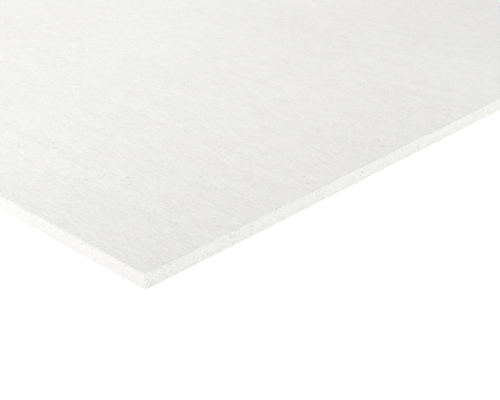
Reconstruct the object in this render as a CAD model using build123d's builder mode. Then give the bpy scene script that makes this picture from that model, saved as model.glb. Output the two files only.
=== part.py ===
from build123d import *
import os

# Driving dimensions, in millimetres, of a one-person gypsum fiberboard lying on its back face
board_length = 1500.0  # along X, the way the faces are sanded
board_width = 1000.0  # along Y
board_thickness = 10.0  # along Z, from the back face on the floor to the front face
arris_break = 0.4  # leg of the small flat that handling wears along every sawn arris

os.makedirs("parts", exist_ok=True)

# The board is pressed in one piece and sawn square on all four sides
with BuildPart() as gypsum_fiberboard:
    with BuildSketch(Plane.XY) as back_face:
        Rectangle(board_length, board_width)
    extrude(amount=board_thickness)
    chamfer(gypsum_fiberboard.edges(), length=arris_break)

gypsum_fiberboard.part.label = "gypsum_fiberboard"
export_step(gypsum_fiberboard.part, "parts/gypsum_fiberboard.step")
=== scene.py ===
import math
import random
from typing import NamedTuple

import bpy
import numpy as np
from mathutils import Matrix, Vector, noise
from mathutils.geometry import delaunay_2d_cdt


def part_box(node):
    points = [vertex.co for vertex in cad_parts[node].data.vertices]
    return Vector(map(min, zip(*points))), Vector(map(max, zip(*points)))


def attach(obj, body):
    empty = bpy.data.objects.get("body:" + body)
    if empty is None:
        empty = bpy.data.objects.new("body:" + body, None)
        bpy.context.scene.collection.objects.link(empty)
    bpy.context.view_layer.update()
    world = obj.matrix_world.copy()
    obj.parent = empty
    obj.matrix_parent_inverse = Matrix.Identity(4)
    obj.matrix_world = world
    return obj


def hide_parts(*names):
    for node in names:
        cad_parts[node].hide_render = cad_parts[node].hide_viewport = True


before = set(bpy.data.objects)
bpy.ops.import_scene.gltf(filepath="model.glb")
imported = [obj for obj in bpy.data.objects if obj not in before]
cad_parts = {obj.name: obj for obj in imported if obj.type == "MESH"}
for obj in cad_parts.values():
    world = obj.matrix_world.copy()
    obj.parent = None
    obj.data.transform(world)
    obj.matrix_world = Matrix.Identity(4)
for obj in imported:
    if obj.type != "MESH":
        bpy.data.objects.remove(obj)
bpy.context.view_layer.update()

MM = 0.001
NODE = "gypsum_fiberboard"
LOW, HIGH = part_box(NODE)
LENGTH, WIDTH, THICKNESS = HIGH - LOW
SEED = 7


class Fleck(NamedTuple):
    """A fleck of paper fibre in a face: its middle, its size, the way it lies, and its darkness up to 1."""

    place: tuple
    length: float
    width: float
    angle: float
    tone: float


class Grain(NamedTuple):
    """Noise with grains of those sizes along, across and through the board. No size leaves that way out."""

    along: float
    across: float
    through: float | None = None
    detail: float = 2.0
    distortion: float = 0.0
    seed: float | None = None


class Spots(NamedTuple):
    """Soft spots in that share of the cells of those sizes, each with that radius, counted in cells."""

    along: float
    across: float
    share: float
    radius: float
    through: float | None = None


# The camera, from the photograph: its frame, the near top corner's pixel and depth, and which way it looks
PHOTO_WIDTH, PHOTO_HEIGHT = 500, 400
FOCAL_PIXELS = 1020.0
CORNER_PIXEL = (144.58, 274.82)
CORNER_DEPTH = 57.6 * THICKNESS
CAMERA_AZIMUTH = math.radians(43.74)
CAMERA_PITCH = math.radians(27.01)
SENSOR_WIDTH = 36.0
NEAREST_SEEN, FARTHEST_SEEN = 10 * MM, 100.0

# The cut edges: how finely they are modelled
COLUMN_STEP = 1.5 * MM
CORNER_RADIUS = 0.35 * MM
LEAST_RADIUS = 0.05 * MM
CORNER_STEPS = 4
SIDE_ROWS = 7
FACE_MARGIN = 1.8 * MM

# How handling wore the arrises: all along, in crumbled spots and at the corners, and less on the low ones
ARRIS_WEAR = 0.15 * MM
ARRIS_CRUMBLE = 0.35 * MM
ARRIS_GRAIN = 4.5 * MM
CRUMBLE_POWER = 1.5
LOW_WEAR_SHARE = 0.4
MOST_WEAR = 1.3 * MM
CORNER_KNOCK = 0.5 * MM
CORNER_REACH = 14 * MM

# Rows of points over an arris, from its face to its edge: their shares of the wear, inwards and off the face
ROUNDING_SHARE = 0.3
ARRIS_SHARES = ((1.0, 0.0), (ROUNDING_SHARE, ROUNDING_SHARE), (0.0, 1.0))

# How much painted shade those rows carry, on low and high arrises, and how far from the corners the painted
# shade fades
LOW_ARRIS_SHADES = (0.25, 0.25, 0.15)
HIGH_ARRIS_SHADES = (1.0, 1.0, 0.6)
ARRIS_SHADE_REACH = 16 * MM

# How the saw left the edges: grain, a slow wander, and pits at a small share of the points
SIDE_GRAIN = 1.9 * MM
SIDE_RELIEF = 0.10 * MM
SIDE_INSET_SHARE = 0.6
SAW_WANDER = 90 * MM
SAW_DEPTH = 0.08 * MM
SAW_INSET_SHARE = 0.5
PIT_SHARE = 0.035
PIT_DEPTH = 0.28 * MM
NOISE_FALLOFF, NOISE_STEP = 0.8, 2.0
GRAIN_OCTAVES, WANDER_OCTAVES = 3, 2

# The darker flecks. Each row of a cluster has a fleck's distance from the photographed corner along the long
# and the short edge, its length and width, and its darkness. Clusters repeat in step over that corner.
CLUSTER = [
    (10.6 * MM, 68.9 * MM, 3.0 * MM, 1.4 * MM, 1.0),
    (19.3 * MM, 74.6 * MM, 2.5 * MM, 1.6 * MM, 0.85),
    (16.7 * MM, 77.0 * MM, 2.0 * MM, 1.2 * MM, 0.55),
    (9.5 * MM, 64.0 * MM, 1.6 * MM, 1.1 * MM, 0.4),
    (37.2 * MM, 53.2 * MM, 2.2 * MM, 1.2 * MM, 0.75),
    (32.8 * MM, 54.3 * MM, 2.0 * MM, 1.2 * MM, 0.75),
    (64.5 * MM, 3.5 * MM, 1.6 * MM, 1.2 * MM, 0.9),
    (37.0 * MM, 8.0 * MM, 1.8 * MM, 0.9 * MM, 0.45),
    (54.5 * MM, 54.5 * MM, 1.6 * MM, 0.9 * MM, 0.4),
]
TILE_LONG, TILE_SHORT, TILE_SKEW = 84.4 * MM, 83.7 * MM, 0.9 * MM
PHOTO_TILES_LONG, PHOTO_TILES_SHORT = 4, 5
CLUSTER_JITTER = 38 * MM
CLUSTER_TURN = 0.5
CLUSTER_FADES = (0.8, 1.0)

# The finer flecks, scattered over both faces
FRONT_FLECKS, BACK_FLECKS = 1400, 1700
FRONT_DARKEST, BACK_DARKEST = 0.4, 0.9
FLECK_LENGTHS = (0.6 * MM, 1.9 * MM)
FLECK_SLIMNESS = (0.35, 0.8)
FLECK_TURN = 0.6
FADING_POWER = 1.5

# How every fleck is let into its face, and how the triangles between them are kept even
FLECK_SIDES = 6
FLECK_SLIP_SHARE = 0.5
FLECK_REACH_SHARES = (0.75, 1.2)
FLECK_DENT = 0.05 * MM
FLECK_GAP = 3.2 * MM
FACE_GRID = 22 * MM
GRID_JITTER_SHARE = 0.3
EDGE_RINGS = ((4 * MM, 3 * MM), (9 * MM, 7 * MM))
INSIDE_ONLY = 1
MERGE_DISTANCE = 0.0001 * MM
NO_FLECK = -1

# The bake map: both faces share its lower part, the edges lie above in strips, and the flecks in cells on top
MAP_PIXELS = 1024
MAP_PAD = 2 / MAP_PIXELS
STRIP_LENGTH = 0.5
STRIP_PIXELS, STRIP_PAD_PIXELS = 26, 1
CELL_PIXELS = 3
STRIPS = math.ceil(2 * (LENGTH + WIDTH) / STRIP_LENGTH)
STRIPS_START = WIDTH / LENGTH + 2 * MAP_PAD
CELLS_START = STRIPS_START + STRIPS * STRIP_PIXELS / MAP_PIXELS + MAP_PAD

# The mesh's materials, by their number
FACE, EDGE, FLECK = range(3)

# What each point of the mesh tells them: how deep in a pit it is, how much painted shade lies on it along
# an arris, how far round on a sawn short edge rather than a long one, and how dark a fleck
VALUES = ("pits", "bruise", "sawn", "fleck_tone")

# The sanded face
FACE_GRAINS = {
    "dust": Grain(1.9 * MM, 1.9 * MM, detail=1.0),
    "hair": Grain(6 * MM, 1.1 * MM, detail=1.0, distortion=1.2),
    "streaks": Grain(13 * MM, 1.5 * MM, detail=1.0, distortion=1.1),
    "bands": Grain(150 * MM, 9 * MM),
    "mottle": Grain(24 * MM, 15 * MM, detail=3.0),
    "clouds": Grain(260 * MM, 180 * MM),
    # drift: broad patches that are lighter and greener together, partly the board's own tone and partly
    # painted light
    "drift": Grain(320 * MM, 320 * MM, detail=1.0, seed=26.0),
    "tint": Grain(30 * MM, 20 * MM, detail=4.0),
    "cool": Grain(21 * MM, 15 * MM, detail=3.0),
}
FACE_SPOTS = {
    "faint": Spots(4.2 * MM, 4.2 * MM, share=0.6, radius=0.2),
    "shreds": Spots(9 * MM, 9 * MM, share=0.6, radius=0.14),
}
FACE_CREAM = (0.814, 0.801, 0.774, 1.0)
FACE_GREEN = (0.802, 0.805, 0.777, 1.0)
FACE_GREY = (0.806, 0.802, 0.793, 1.0)
GREEN_RANGE, GREY_RANGE = (-0.25, 0.25), (-0.1, 0.25)
FACE_SPECULAR, FACE_ROUGHNESS, FACE_RELIEF = 0.25, (0.72, 0.88), 0.08 * MM

# The cut edge: sawn on the short sides, and trimmed smoother on the long ones
EDGE_GRAINS = {
    "grain": Grain(1.1 * MM, 1.1 * MM, through=0.9 * MM),
    "strata": Grain(18 * MM, 18 * MM, through=1.0 * MM, distortion=0.5),
    "saw_lines": Grain(0.9 * MM, 0.9 * MM, through=12 * MM, detail=1.0),
    "patches": Grain(13 * MM, 13 * MM, through=8 * MM, detail=1.0),
    "long_patches": Grain(170 * MM, 170 * MM, detail=1.0),
}
EDGE_SPOTS = {
    "fibre_ends": Spots(2.4 * MM, 2.4 * MM, share=0.35, radius=0.32, through=1.9 * MM),
    "shreds": Spots(5.0 * MM, 5.0 * MM, share=0.45, radius=0.28, through=2.6 * MM),
}
# Both are lighter than the face: partly the cut gypsum's own colour, partly painted light for the brighter
# sides
SAWN_COLOUR = (0.876, 0.880, 0.846, 1.0)
TRIMMED_COLOUR = (0.885, 0.878, 0.858, 1.0)
TRIMMED_TEXTURE_SHARE = 0.55
PATCH_RANGE, PATCH_STRENGTHS = (-0.12, 0.1), (0.4, 1.0)
EDGE_SPECULAR, EDGE_ROUGHNESS, EDGE_RELIEF = 0.2, (0.8, 0.95), 0.12 * MM

# Painted shade: a dark broken line along the arrises, stronger on the sawn short edges
ARRIS_SHADE_BREAKS = Grain(38 * MM, 38 * MM, detail=3.0)
BREAK_RANGE, BREAK_STRENGTHS = (-0.06, 0.1), (0.15, 1.0)
ARRIS_SHADE_TONE, TRIMMED_ARRIS_SHADE_SHARE = -0.07, 0.25

# The flecks
FLECK_GRAINS = {
    "grain": Grain(0.5 * MM, 0.5 * MM),
    "tint": Grain(11 * MM, 11 * MM, detail=0.0),
}
FLECK_PALE = (0.775, 0.768, 0.738, 1.0)
FLECK_OLIVE = (0.59, 0.60, 0.54, 1.0)
FLECK_BROWN = (0.62, 0.605, 0.555, 1.0)
BROWN_RANGE = (-0.02, 0.14)
FLECK_UNEVENNESS = 0.3
FLECK_SPECULAR, FLECK_ROUGHNESS, FLECK_RELIEF = 0.2, (0.75, 0.9), 0.05 * MM

# What the materials share: a noise's middle, the noise that spans a range of roughness, and the weakest spot
NOISE_MIDDLE = 0.5
ROUGHNESS_RANGE = (-0.4, 0.4)
LEAST_SPOT = 0.3

# The sockets of a Mix node for colours
MIX_FACTOR, MIX_LOW, MIX_HIGH, MIX_RESULT = 0, 6, 7, 2

# The studio
WHITE = (1.0, 1.0, 1.0, 1.0)
WORLD_LIGHT = 0.863
FLOOR_SIZE = 30.0
FLOOR_DROP = 0.05 * MM
FLOOR_WHITENESS = 0.95
FLOOR_ROUGHNESS = 0.9
FLOOR_SHADOW_SHARE = 0.6
FLOOR_GLOW = 1 - FLOOR_SHADOW_SHARE * FLOOR_WHITENESS * WORLD_LIGHT

# Lamps: where each stands and what it faces, in metres, then its width, its height and its watts
LAMPS = {
    "overhead": ((-0.05, -0.30, 0.40), (-0.05, 0.00, 0.0), 1.4, 0.8, 1.2),
    "front": ((-0.50, -2.50, 0.34), (0.10, -0.50, 0.0), 1.4, 0.5, 11.3),
    "right": ((2.75, 1.00, 0.34), (0.75, -0.10, 0.0), 1.4, 0.5, 9.75),
}


def columns():
    """The columns of the edge band, anticlockwise from the near long edge: each one's place on the rectangle
    that the corner arcs' centres make, from -1 to 1 each way, and its outward normal."""
    places, normals = [], []
    corners = [(-1, -1), (1, -1), (1, 1), (-1, 1)]
    for number, run in enumerate([LENGTH, WIDTH, LENGTH, WIDTH]):
        start, end = corners[number], corners[(number + 1) % len(corners)]
        heading = math.radians(90 * (number - 1))
        steps = round(run / COLUMN_STEP)
        for step in range(steps + 1):
            places.append([a + (b - a) * step / steps for a, b in zip(start, end)])
            normals.append((math.cos(heading), math.sin(heading)))
        for step in range(1, CORNER_STEPS):
            turned = heading + math.radians(90) * step / CORNER_STEPS
            places.append(end)
            normals.append((math.cos(turned), math.sin(turned)))
    return np.array(places, float), np.array(normals)


PLACES, NORMALS = columns()
COLUMNS = len(PLACES)


def even(value):
    """The same value for every column."""
    return np.full(COLUMNS, value)


def ring(inset):
    """Plan points of the columns, each that far inside the outline. Corners stay round, however far in."""
    radius = np.maximum(CORNER_RADIUS - inset, LEAST_RADIUS)[:, None]
    half = np.array([[LENGTH, WIDTH]]) / 2 - inset[:, None] - radius
    return PLACES * half + NORMALS * radius


def rough(points, size, octaves):
    """Fractal noise at the points, about -1 to 1, with grains of that size."""
    return np.array([noise.fractal(Vector(p) / size, NOISE_FALLOFF, NOISE_STEP, octaves) for p in points])


def near_corner(reach):
    """1 at the board's corners, falling to 0 along the edges over about that reach."""
    away = np.hypot(*(np.array([[LENGTH, WIDTH]]) / 2 - np.abs(ring(even(0.0)))).T)
    return np.exp(-((away / reach) ** 2))


def arris_wear(height):
    """How much of the arris at that height is worn off at each column: more in crumbled spots and corners."""
    grain = rough(np.column_stack([ring(even(0.0)), even(height)]), ARRIS_GRAIN, GRAIN_OCTAVES)
    crumbled = ARRIS_CRUMBLE * np.clip(grain, 0, 1) ** CRUMBLE_POWER
    knocked = CORNER_KNOCK * near_corner(CORNER_REACH) * (1 + grain)
    return np.clip(ARRIS_WEAR + crumbled + knocked, ARRIS_WEAR / 2, MOST_WEAR)


def side_relief(heights):
    """How far the cut lies inside the outline at those heights: its wander, and the grain of the board."""
    points = np.column_stack([ring(even(0.0)), heights])
    grain = SIDE_RELIEF * (SIDE_INSET_SHARE + rough(points, SIDE_GRAIN, GRAIN_OCTAVES))
    wander = SAW_DEPTH * (SAW_INSET_SHARE + rough(points, SAW_WANDER, WANDER_OCTAVES))
    return np.clip(grain + wander, 0, None)


def edge_band(draw):
    """Rows of points from the back face's margin, round the cut edge, to the front face's margin, with how
    deeply pitted each point is and how much painted shade it carries along the arrises."""
    low_wear, high_wear = LOW_WEAR_SHARE * arris_wear(0.0), arris_wear(THICKNESS)
    low_side, high_side = side_relief(low_wear), side_relief(THICKNESS - high_wear)
    crisp = 1 - near_corner(ARRIS_SHADE_REACH)
    rows, pits, bruises = [], [], []

    def add(inset, heights, pitted=0.0, bruise=0.0):
        rows.append(np.column_stack([ring(inset), heights]))
        pits.append(even(0.0) + pitted)
        bruises.append(crisp * bruise)

    add(even(FACE_MARGIN), even(0.0))
    # Painted shade along the low arris, where the board meets the floor
    for (inwards, up), bruise in zip(ARRIS_SHARES, LOW_ARRIS_SHADES):
        add(low_side + low_wear * inwards, low_wear * up, bruise=bruise)
    for row in range(SIDE_ROWS):
        share = (row + 1) / (SIDE_ROWS + 1)
        heights = low_wear * (1 - share) + (THICKNESS - high_wear) * share
        pitted = draw.random(COLUMNS) ** (1 / PIT_SHARE)
        add(side_relief(heights) + PIT_DEPTH * pitted, heights, pitted=pitted)
    # Painted shade along the top arris
    for (inwards, down), bruise in reversed(list(zip(ARRIS_SHARES, HIGH_ARRIS_SHADES))):
        add(high_side + high_wear * inwards, THICKNESS - high_wear * down, bruise=bruise)
    add(even(FACE_MARGIN), even(THICKNESS))
    return np.array(rows), np.array(pits), np.array(bruises)


def clustered(draw):
    """The darker flecks: in step over the photographed corner, and scattered beyond it."""
    found = []
    level_in_photo = math.pi / 2 - CAMERA_AZIMUTH
    for tile_long in range(math.ceil(LENGTH / TILE_LONG)):
        for tile_short in range(math.ceil(WIDTH / TILE_SHORT)):
            in_photo = tile_long < PHOTO_TILES_LONG and tile_short < PHOTO_TILES_SHORT
            jitter = 0.0 if in_photo else CLUSTER_JITTER
            for along, across, length, width, tone in CLUSTER:
                x = HIGH.x - along - tile_long * TILE_LONG
                y = LOW.y + across + tile_short * TILE_SHORT + tile_long * TILE_SKEW
                place = (x + draw.uniform(-jitter, jitter), y + draw.uniform(-jitter, jitter))
                angle = level_in_photo + draw.uniform(-CLUSTER_TURN, CLUSTER_TURN)
                found.append(Fleck(place, length, width, angle, tone * draw.uniform(*CLUSTER_FADES)))
    return found


def scattered(draw, count, darkest):
    """Flecks anywhere on a face, mostly lying along the board and mostly pale."""
    found = []
    for _ in range(count):
        place = (draw.uniform(LOW.x, HIGH.x), draw.uniform(LOW.y, HIGH.y))
        length = draw.uniform(*FLECK_LENGTHS)
        width = length * draw.uniform(*FLECK_SLIMNESS)
        angle = draw.gauss(0, FLECK_TURN)
        found.append(Fleck(place, length, width, angle, darkest * draw.random() ** FADING_POWER))
    return found


def squares_round(place):
    """The squares of the spacing grid in and around which a place lies, its own first."""
    column, row = (math.floor(c / FLECK_GAP) for c in place)
    return [(column + i, row + j) for i in (0, -1, 1) for j in (0, -1, 1)]


def apart(flecks):
    """The flecks that lie clear of the face's margin and of those before them, and the squares they take."""
    kept, taken = [], {}
    for fleck in flecks:
        reach = FACE_MARGIN + fleck.length
        inside = all(low + reach < c < high - reach for c, low, high in zip(fleck.place, LOW, HIGH))
        squares = squares_round(fleck.place)
        others = [taken[square] for square in squares if square in taken]
        clear = all(math.dist(fleck.place, other) > FLECK_GAP for other in others)
        if inside and clear and squares[0] not in taken:
            taken[squares[0]] = fleck.place
            kept.append(fleck)
    return kept, taken


def fleck_outline(draw, fleck):
    """An uneven lens of about the fleck's length and width."""
    points = []
    cosine, sine = math.cos(fleck.angle), math.sin(fleck.angle)
    for corner in range(FLECK_SIDES):
        turn = 2 * math.pi * (corner + FLECK_SLIP_SHARE * draw.random()) / FLECK_SIDES
        reach = draw.uniform(*FLECK_REACH_SHARES)
        along = reach * math.cos(turn) * fleck.length / 2
        across = reach * math.sin(turn) * fleck.width / 2
        x = fleck.place[0] + along * cosine - across * sine
        y = fleck.place[1] + along * sine + across * cosine
        points.append((x, y))
    return points


def filler(draw, taken):
    """Points that keep a face's triangles even: rings beside its margin and a loose grid, clear of flecks."""
    points = []
    for inset, step in EDGE_RINGS:
        points += ring(even(inset))[::round(step / COLUMN_STEP)].tolist()
    across, up = round(LENGTH / FACE_GRID), round(WIDTH / FACE_GRID)
    for column in range(1, across):
        for row in range(1, up):
            x = LOW.x + LENGTH * (column + draw.uniform(-GRID_JITTER_SHARE, GRID_JITTER_SHARE)) / across
            y = LOW.y + WIDTH * (row + draw.uniform(-GRID_JITTER_SHARE, GRID_JITTER_SHARE)) / up
            points.append((x, y))
    return [p for p in points if not any(square in taken for square in squares_round(p))]


def triangulated(margin, flecks, outlines, loose):
    """Plan points of a face from its margin in, their triangles, and which fleck each triangle is in."""
    plan, rings = list(margin), []
    for fleck, outline in zip(flecks, outlines):
        rings.append([len(plan) + corner for corner in range(FLECK_SIDES)])
        plan += outline + [fleck.place]
    plan += loose
    edges = [(column, (column + 1) % COLUMNS) for column in range(COLUMNS)]
    made, _, triangles, _, _, sources = delaunay_2d_cdt(
        [Vector(p) for p in plan], edges, rings, INSIDE_ONLY, MERGE_DISTANCE, True)
    if len(made) != len(plan):
        raise ValueError("two fleck outlines cross")
    within = np.array([source[0] if source else NO_FLECK for source in sources])
    return np.array(made), np.array(triangles), within


def face_map(plan):
    """Where plan points of either face lie in the bake map."""
    return MAP_PAD + (1 - 2 * MAP_PAD) * (plan - np.array(LOW[:2])) / LENGTH


def strip_map(*shares):
    """Where one row of the cut edges' quads lies in the bake map, between two shares of a strip's height."""
    outline = ring(even(0.0))
    steps = np.hypot(*(np.roll(outline, -1, axis=0) - outline).T)
    ends = np.cumsum(steps)
    strip = np.floor((ends - steps) / STRIP_LENGTH)
    left, right = [(d - strip * STRIP_LENGTH) / (STRIP_LENGTH + COLUMN_STEP) for d in (ends - steps, ends)]
    across = MAP_PAD + (1 - 2 * MAP_PAD) * np.stack([left, right, right, left], axis=1)
    used_pixels = STRIP_PIXELS - 2 * STRIP_PAD_PIXELS
    pixels = [strip * STRIP_PIXELS + STRIP_PAD_PIXELS + used_pixels * share for share in shares]
    low, high = [STRIPS_START + up / MAP_PIXELS for up in pixels]
    return np.stack([across, np.stack([low, low, high, high], axis=1)], axis=2)


class Board:
    """The board's mesh as it is put together: points with their values, and faces with their map places."""

    def __init__(self):
        self.points, self.values = np.zeros((0, 3)), np.zeros((0, len(VALUES)))
        self.faces, self.kinds, self.maps = [], [], []
        self.flecks = 0

    def add_points(self, points, **values):
        first = len(self.points)
        table = np.zeros((len(points), len(VALUES)))
        for name, value in values.items():
            table[:, VALUES.index(name)] = value
        self.points = np.concatenate([self.points, points])
        self.values = np.concatenate([self.values, table])
        return first

    def add_faces(self, corners, kinds, maps):
        self.faces += corners.tolist()
        self.kinds.append(kinds)
        self.maps.append(maps.reshape(-1, 2))

    def add_band(self, rows, pits, bruises):
        """The cut edges and the faces' margins. Gives the first points of the back and front borders."""
        sawn = np.tile(np.abs(NORMALS[:, 0]), len(rows))
        first = self.add_points(rows.reshape(-1, 3), pits=pits.ravel(), bruise=bruises.ravel(), sawn=sawn)
        corners = first + np.arange(rows.size // 3).reshape(rows.shape[:2])
        beside = np.roll(corners, -1, axis=1)
        last = len(rows) - 2
        for row in range(last + 1):
            quads = np.stack([corners[row], beside[row], beside[row + 1], corners[row + 1]], axis=1)
            if row in (0, last):
                self.add_faces(quads, np.full(COLUMNS, FACE), face_map(self.points[quads][:, :, :2]))
            else:
                maps = strip_map((row - 1) / (last - 1), row / (last - 1))
                self.add_faces(quads, np.full(COLUMNS, EDGE), maps)
        return corners[0, 0], corners[-1, 0]

    def add_fill(self, border, height, flecks, draw):
        """One face inside its margin, with each fleck's outline let into its triangles."""
        flecks, taken = apart(flecks)
        outlines = [fleck_outline(draw, fleck) for fleck in flecks]
        loose = filler(draw, taken)
        margin = self.points[border:border + COLUMNS, :2].tolist()
        plan, triangles, within = triangulated(margin, flecks, outlines, loose)
        inward = -1 if height else 1
        dents = np.array(([0.0] * FLECK_SIDES + [FLECK_DENT]) * len(flecks) + [0.0] * len(loose))
        tones = np.repeat([fleck.tone for fleck in flecks], FLECK_SIDES + 1)
        tones = np.concatenate([tones, np.zeros(len(loose))])
        first = self.add_points(np.column_stack([plan[COLUMNS:], height + inward * dents]), fleck_tone=tones)
        corners = np.where(triangles < COLUMNS, border + triangles, first + triangles - COLUMNS)
        is_fleck = within != NO_FLECK
        cells = self.cell_map(plan[triangles], flecks, within)
        maps = np.where(is_fleck[:, None, None], cells, face_map(plan[triangles]))
        turn = slice(None) if height else slice(None, None, -1)
        self.add_faces(corners[:, turn], np.where(is_fleck, FLECK, FACE), maps[:, turn])
        self.flecks += len(flecks)

    def cell_map(self, plan, flecks, within):
        """Where corners of triangles lie in the bake map, each in the cell of the fleck that it is within."""
        cell_rows, cell_columns = np.divmod(self.flecks + within, MAP_PIXELS // CELL_PIXELS)
        middles = np.array([fleck.place for fleck in flecks])[within][:, None]
        lengths = np.array([fleck.length for fleck in flecks])[within][:, None, None]
        cells = np.stack([cell_columns, cell_rows], axis=1)[:, None] + 0.5 + (plan - middles) / lengths / 2
        return cells * CELL_PIXELS / MAP_PIXELS + np.array([0, CELLS_START])

    def mesh(self, name):
        mesh = bpy.data.meshes.new(name)
        mesh.from_pydata(self.points.tolist(), [], self.faces)
        mesh.polygons.foreach_set("material_index", np.concatenate(self.kinds).astype(np.int32))
        mesh.polygons.foreach_set("use_smooth", np.ones(len(self.faces), bool))
        mesh.uv_layers.new(name="OFBake").data.foreach_set("uv", np.concatenate(self.maps).ravel())
        for number, value in enumerate(VALUES):
            made = mesh.attributes.new(value, "FLOAT", "POINT")
            made.data.foreach_set("value", self.values[:, number].astype(np.float32))
        mesh.update()
        return mesh


class Nodes:
    """Short calls that build the nodes of a material or of the world."""

    def __init__(self, owner):
        owner.use_nodes = True
        self.tree = owner.node_tree

    def node(self, kind, inputs=(), **settings):
        made = self.tree.nodes.new(kind)
        for name, value in settings.items():
            setattr(made, name, value)
        self.feed(made, inputs)
        return made

    def feed(self, node, inputs):
        """Sets the node's inputs to values, or links them to the outputs given."""
        for socket, value in dict(inputs).items():
            if isinstance(value, bpy.types.NodeSocket):
                self.tree.links.new(value, node.inputs[socket])
            else:
                node.inputs[socket].default_value = value

    def math(self, operation, *values):
        return self.node("ShaderNodeMath", enumerate(values), operation=operation).outputs[0]

    def mixed(self, share, first, second):
        """The first shader, giving way to the second by that share."""
        return self.node("ShaderNodeMixShader", {0: share, 1: first, 2: second}).outputs[0]

    def seen_directly(self):
        """1 for rays that show the background: from the camera, in a gloss or through glass."""
        path = self.node("ShaderNodeLightPath").outputs
        seen = path["Is Camera Ray"]
        for name in ("Is Glossy Ray", "Is Transmission Ray"):
            seen = self.math("MAXIMUM", seen, path[name])
        return seen


class Finish(Nodes):
    """One procedural material: a Principled shader, and short calls for what feeds it."""

    def __init__(self, name, specular):
        self.material = bpy.data.materials.new(name)
        super().__init__(self.material)
        self.shader = self.tree.nodes["Principled BSDF"]
        self.feed(self.shader, {"Specular IOR Level": specular})
        self.place = self.node("ShaderNodeTexCoord").outputs["Object"]

    def scaled(self, layer):
        """The place on the board, counted in the layer's grains or cells."""
        sizes = (layer.along, layer.across, layer.through)
        scale = [0.0 if size is None else 1 / size for size in sizes]
        return self.node("ShaderNodeVectorMath", {0: self.place, 1: scale}, operation="MULTIPLY").outputs[0]

    def grain(self, grain):
        """Noise about 0. A seed gives another pattern of it."""
        inputs = {"Vector": self.scaled(grain), "Scale": 1.0}
        inputs.update({"Detail": grain.detail, "Distortion": grain.distortion})
        if grain.seed is None:
            made = self.node("ShaderNodeTexNoise", inputs)
        else:
            made = self.node("ShaderNodeTexNoise", {**inputs, "W": grain.seed}, noise_dimensions="4D")
        return self.math("SUBTRACT", made.outputs["Fac"], NOISE_MIDDLE)

    def ramp(self, value, low, high, to_low=0.0, to_high=1.0):
        inputs = {"Value": value, "From Min": low, "From Max": high, "To Min": to_low, "To Max": to_high}
        return self.node("ShaderNodeMapRange", inputs, interpolation_type="SMOOTHSTEP").outputs["Result"]

    def spots(self, spots):
        """Up to 1 in the middle of a spot, and 0 outside."""
        made = self.node("ShaderNodeTexVoronoi", {"Vector": self.scaled(spots), "Scale": 1.0})
        spot = self.ramp(made.outputs["Distance"], spots.radius, spots.radius / 2)
        pick = self.node("ShaderNodeSeparateColor", {"Color": made.outputs["Color"]}).outputs
        chosen = self.math("LESS_THAN", pick["Red"], spots.share)
        strength = self.math("MULTIPLY_ADD", pick["Green"], 1 - LEAST_SPOT, LEAST_SPOT)
        return self.math("MULTIPLY", spot, self.math("MULTIPLY", chosen, strength))

    def attribute(self, name):
        return self.node("ShaderNodeAttribute", attribute_name=name).outputs["Fac"]

    def layers(self, grains, spots):
        """Every grain and spot of the tables, by its name there."""
        made = {name: self.grain(grain) for name, grain in grains.items()}
        return made | {name: self.spots(spot) for name, spot in spots.items()}

    def weighed(self, layers, **weights):
        """The sum of the layers named, each times its weight."""
        total = 0.0
        for name, weight in weights.items():
            total = self.math("MULTIPLY_ADD", layers[name], weight, total)
        return total

    def blend(self, factor, low, high):
        inputs = {MIX_FACTOR: factor, MIX_LOW: low, MIX_HIGH: high}
        return self.node("ShaderNodeMix", inputs, data_type="RGBA").outputs[MIX_RESULT]

    def shaded(self, colour, tone):
        """The colour, lighter or darker by that share."""
        scale = self.math("ADD", tone, 1.0)
        return self.node("ShaderNodeVectorMath", {0: colour, "Scale": scale}, operation="SCALE").outputs[0]

    def dress(self, colour, roughness, height, depth):
        """Feeds the shader its colour, its roughness and the fine relief of that depth."""
        bump = self.node("ShaderNodeBump", {"Height": height, "Strength": 1.0, "Distance": depth})
        inputs = {"Base Color": colour, "Roughness": roughness, "Normal": bump.outputs["Normal"]}
        self.feed(self.shader, inputs)
        return self.material


def bruise_line(finish):
    """Painted shade: a dark broken line along an arris, strong on the sawn short edges and faint on the long
    ones.
    """
    broken = finish.ramp(finish.grain(ARRIS_SHADE_BREAKS), *BREAK_RANGE, *BREAK_STRENGTHS)
    strength = finish.ramp(finish.attribute("sawn"), 0.0, 1.0, TRIMMED_ARRIS_SHADE_SHARE, 1.0)
    return finish.math("MULTIPLY", finish.attribute("bruise"), finish.math("MULTIPLY", broken, strength))


def face_finish():
    """The sanded face: fine streaks along the board, mottling of many sizes, a slow drift that is partly its
    own tone and partly painted light, and faint flecks.
    """
    finish = Finish("gypsum_sanded_face", FACE_SPECULAR)
    layers = finish.layers(FACE_GRAINS, FACE_SPOTS)
    # Painted shade along the arrises of the face
    layers["bruise"] = bruise_line(finish)
    tone = finish.weighed(
        layers, dust=0.25, hair=0.1, streaks=0.18, bands=0.05, mottle=0.06, clouds=0.08, drift=0.09,
        faint=-0.13, shreds=-0.14, bruise=ARRIS_SHADE_TONE)
    # Where the drift is high the face is lighter and greener: partly painted light
    greenish = finish.ramp(finish.weighed(layers, tint=1.0, drift=1.0), *GREEN_RANGE)
    greyish = finish.ramp(finish.weighed(layers, cool=0.4, drift=-0.9), *GREY_RANGE)
    base = finish.blend(greyish, finish.blend(greenish, FACE_CREAM, FACE_GREEN), FACE_GREY)
    uneven = finish.weighed(layers, streaks=1.0, mottle=0.6)
    roughness = finish.ramp(uneven, *ROUGHNESS_RANGE, *FACE_ROUGHNESS)
    height = finish.weighed(layers, hair=1.0, streaks=0.6, dust=0.4, faint=-0.6)
    return finish.dress(finish.shaded(base, tone), roughness, height, FACE_RELIEF)


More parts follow.
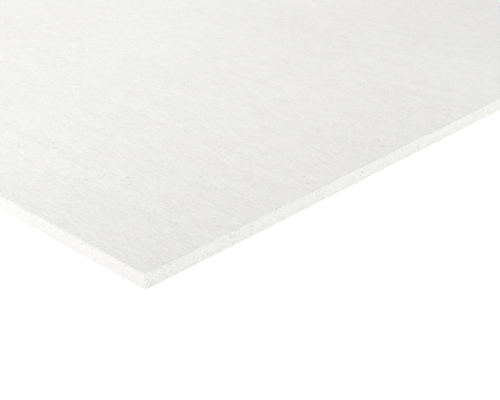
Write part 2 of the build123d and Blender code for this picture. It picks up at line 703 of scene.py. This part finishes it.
def edge_finish():
    """The cut edge: bare grains, dark fibre ends, pressed layers, saw lines and smoother patches, painted
    shade in pits and along the arrises. Its texture is stronger on the sawn short edges than on the trimmed
    long ones."""
    finish = Finish("gypsum_cut_edge", EDGE_SPECULAR)
    layers = finish.layers(EDGE_GRAINS, EDGE_SPOTS)
    layers["pits"] = finish.attribute("pits")
    # Painted shade along the arrises of the cut edge
    layers["bruise"] = bruise_line(finish)
    sawn = finish.attribute("sawn")
    grainy = finish.ramp(layers["patches"], *PATCH_RANGE, *PATCH_STRENGTHS)
    strength = finish.math("MULTIPLY", grainy, finish.ramp(sawn, 0.0, 1.0, TRIMMED_TEXTURE_SHARE, 1.0))
    # The pits weight paints shade into the pits of the cut edge
    texture = finish.weighed(layers, grain=0.66, fibre_ends=-0.18, shreds=-0.24, saw_lines=0.12, pits=-0.2)
    layers["texture"] = finish.math("MULTIPLY", texture, strength)
    tone = finish.weighed(layers, texture=1.0, strata=0.12, long_patches=0.05, bruise=ARRIS_SHADE_TONE)
    base = finish.blend(sawn, TRIMMED_COLOUR, SAWN_COLOUR)
    roughness = finish.ramp(layers["grain"], *ROUGHNESS_RANGE, *EDGE_ROUGHNESS)
    height = finish.weighed(layers, grain=1.0, strata=0.4, fibre_ends=-0.8)
    return finish.dress(finish.shaded(base, tone), roughness, height, EDGE_RELIEF)


def fleck_finish():
    """Flecks of paper fibre under a film of gypsum: pale grey to olive or brown, each with its own tone."""
    finish = Finish("paper_fibre_fleck", FLECK_SPECULAR)
    layers = finish.layers(FLECK_GRAINS, {})
    layers["tone"] = finish.attribute("fleck_tone")
    dark = finish.blend(finish.ramp(layers["tint"], *BROWN_RANGE), FLECK_OLIVE, FLECK_BROWN)
    tone = finish.weighed(layers, tone=1.0, grain=FLECK_UNEVENNESS)
    roughness = finish.ramp(layers["grain"], *ROUGHNESS_RANGE, *FLECK_ROUGHNESS)
    return finish.dress(finish.blend(tone, FLECK_PALE, dark), roughness, layers["grain"], FLECK_RELIEF)


def make_board():
    draw = random.Random(SEED)
    board = Board()
    back, front = board.add_band(*edge_band(np.random.default_rng(SEED)))
    front_flecks = clustered(draw) + scattered(draw, FRONT_FLECKS, FRONT_DARKEST)
    board.add_fill(front, THICKNESS, front_flecks, draw)
    board.add_fill(back, 0.0, scattered(draw, BACK_FLECKS, BACK_DARKEST), draw)
    piece = bpy.data.objects.new("fiberboard_sheet", board.mesh("fiberboard_sheet"))
    for finish in (face_finish(), edge_finish(), fleck_finish()):
        piece.data.materials.append(finish)
    bpy.context.scene.collection.objects.link(piece)
    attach(piece, "root")
    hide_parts(NODE)


def make_camera():
    """Looks down on the board's corner so that it falls on the photograph's pixel."""
    sideways = Vector((math.cos(CAMERA_AZIMUTH), math.sin(CAMERA_AZIMUTH), 0))
    level = Vector((-math.sin(CAMERA_AZIMUTH), math.cos(CAMERA_AZIMUTH), 0))
    forward = level * math.cos(CAMERA_PITCH) - Vector((0, 0, math.sin(CAMERA_PITCH)))
    upward = sideways.cross(forward)
    right_of_middle = (CORNER_PIXEL[0] - PHOTO_WIDTH / 2) / FOCAL_PIXELS
    below_middle = (CORNER_PIXEL[1] - PHOTO_HEIGHT / 2) / FOCAL_PIXELS
    corner = Vector((HIGH.x, LOW.y, HIGH.z))
    eye = corner - CORNER_DEPTH * (forward + sideways * right_of_middle - upward * below_middle)
    data = bpy.data.cameras.new("camera")
    data.sensor_width = SENSOR_WIDTH
    data.lens = FOCAL_PIXELS / PHOTO_WIDTH * SENSOR_WIDTH
    data.clip_start, data.clip_end = NEAREST_SEEN, FARTHEST_SEEN
    camera = bpy.data.objects.new("camera", data)
    camera.matrix_world = Matrix.Translation(eye) @ Matrix((sideways, upward, -forward)).transposed().to_4x4()
    bpy.context.scene.collection.objects.link(camera)
    bpy.context.scene.camera = camera


def make_floor():
    """A white floor that keeps a pale shadow of the board."""
    bpy.ops.mesh.primitive_plane_add(size=FLOOR_SIZE, location=(0, 0, LOW.z - FLOOR_DROP))
    floor = bpy.context.object
    floor.name = "floor"
    material = bpy.data.materials.new("white_floor")
    nodes = Nodes(material)
    shader = nodes.tree.nodes["Principled BSDF"]
    colour = (FLOOR_WHITENESS, FLOOR_WHITENESS, FLOOR_WHITENESS, 1.0)
    nodes.feed(shader, {"Base Color": colour, "Roughness": FLOOR_ROUGHNESS, "Specular IOR Level": 0.0})
    lit = shader.outputs[0]
    black = nodes.node("ShaderNodeEmission", {"Strength": 0.0}).outputs[0]
    glow = nodes.node("ShaderNodeEmission", {"Strength": FLOOR_GLOW}).outputs[0]
    faded = nodes.mixed(1 - FLOOR_SHADOW_SHARE, lit, black)
    glowing = nodes.node("ShaderNodeAddShader", {0: faded, 1: glow}).outputs[0]
    shown = nodes.mixed(nodes.seen_directly(), lit, glowing)
    nodes.feed(nodes.tree.nodes["Material Output"], {"Surface": shown})
    floor.data.materials.append(material)


def make_world():
    """Even light from all round, and plain white where it is seen."""
    world = bpy.data.worlds.new("studio")
    bpy.context.scene.world = world
    nodes = Nodes(world)
    light = nodes.tree.nodes["Background"]
    nodes.feed(light, {"Color": WHITE, "Strength": WORLD_LIGHT})
    white = nodes.node("ShaderNodeBackground", {"Color": WHITE})
    shown = nodes.mixed(nodes.seen_directly(), light.outputs[0], white.outputs[0])
    nodes.feed(nodes.tree.nodes["World Output"], {"Surface": shown})


def make_lights():
    """Soft lamps: a broad one overhead, which fades towards the photographed corner, and two for edges."""
    for name, (place, facing, width, height, watts) in LAMPS.items():
        data = bpy.data.lights.new(name, "AREA")
        data.shape = "RECTANGLE"
        data.size, data.size_y, data.energy = width, height, watts
        lamp = bpy.data.objects.new(name, data)
        lamp.location = place
        lamp.rotation_euler = (Vector(facing) - Vector(place)).to_track_quat("-Z", "Y").to_euler()
        lamp.visible_camera = False
        bpy.context.scene.collection.objects.link(lamp)


make_board()
make_camera()
make_floor()
make_world()
make_lights()
bpy.context.scene.view_settings.view_transform = "Standard"
